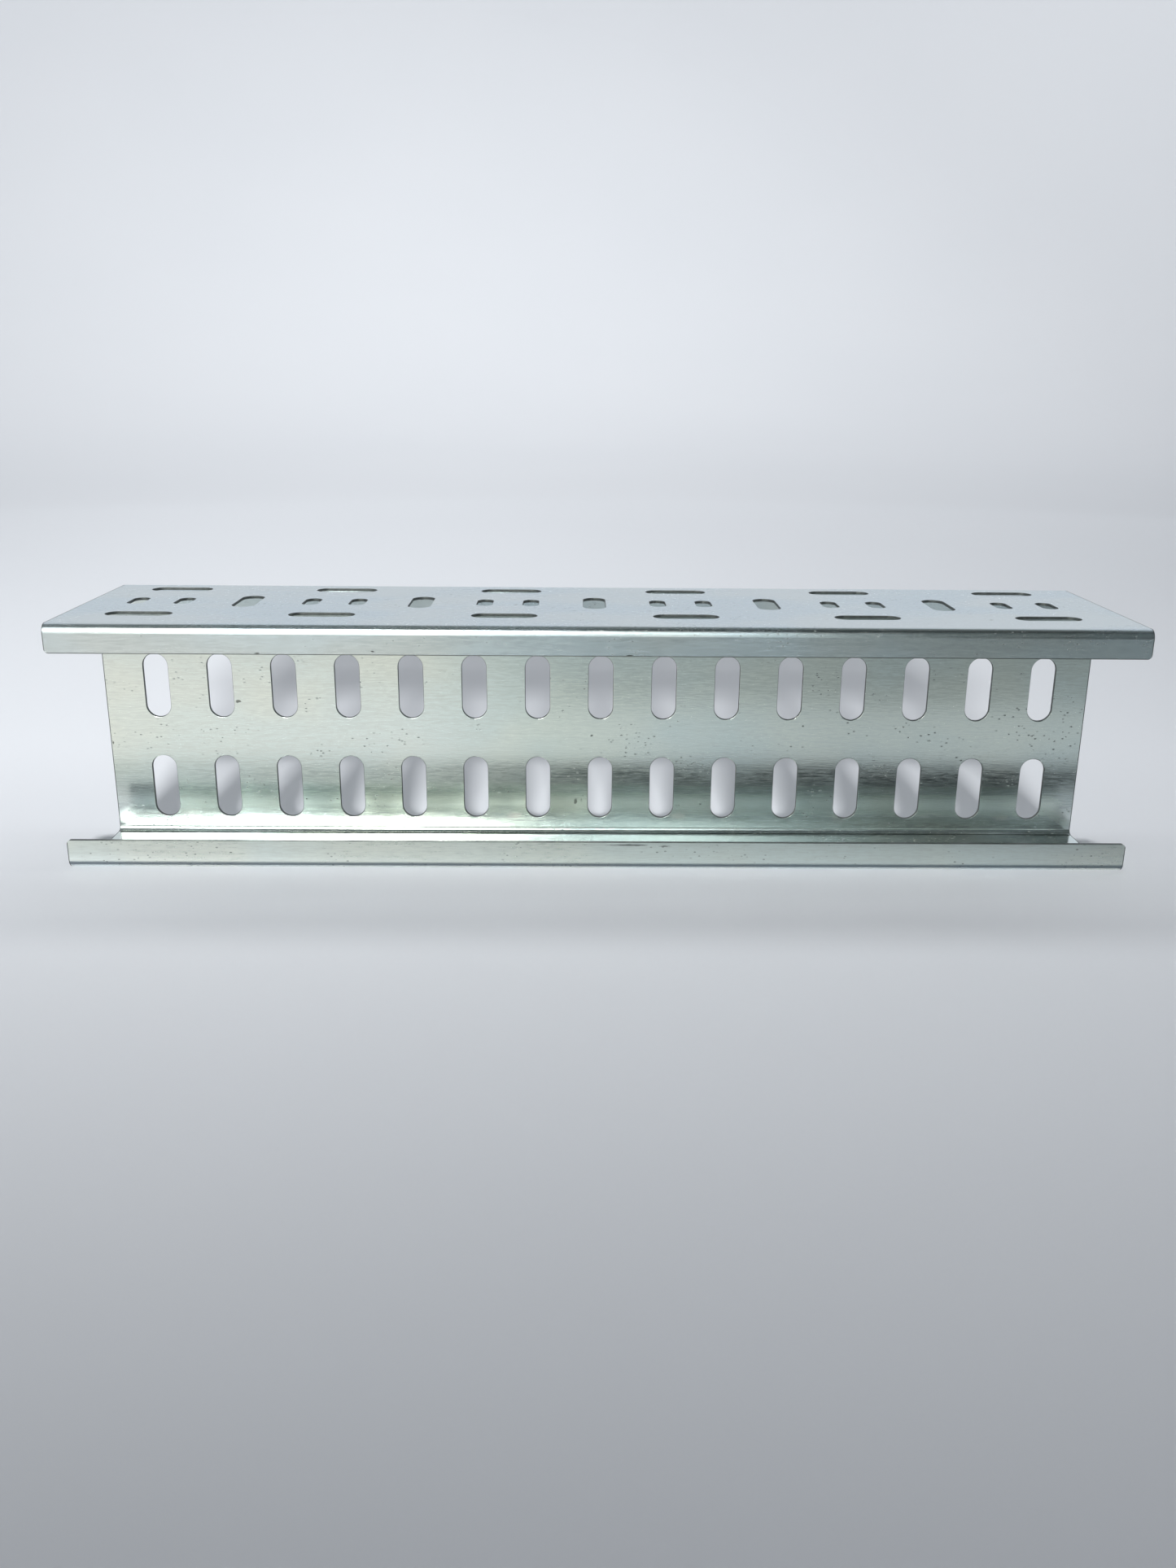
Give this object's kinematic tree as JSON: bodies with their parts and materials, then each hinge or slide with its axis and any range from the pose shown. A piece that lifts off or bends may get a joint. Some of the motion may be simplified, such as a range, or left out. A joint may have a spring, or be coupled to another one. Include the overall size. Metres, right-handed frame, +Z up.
{
  "type": "slotted steel profile",
  "caption": "Short length of galvanised slotted steel profile: a perforated top with turned-down lips on a slotted upright web with a lipped base strip.",
  "frame": {"origin": "middle of the bounding box at floor level, under the deck's centre", "axes": "+X along the length, -Y towards the open side with the base lip, +Z up out of the slotted deck"},
  "size_m": [0.3, 0.07, 0.07],
  "materials": {
    "deck_zinc": "satin galvanised",
    "web_zinc": "rolled galvanised, glossy with fine lengthwise streaks",
    "base_zinc": "satin galvanised",
    "weld_metal": "as welded",
    "spot_metal": "dull, heat-marked"
  },
  "bodies": {
    "root": {"deck_channel": "deck_zinc", "web_angle": "web_zinc", "base_strip": "base_zinc", "front_weld_beads": "weld_metal", "rear_weld_beads": "weld_metal", "base_spot_welds": "spot_metal"}
  },
  "joints": []
}
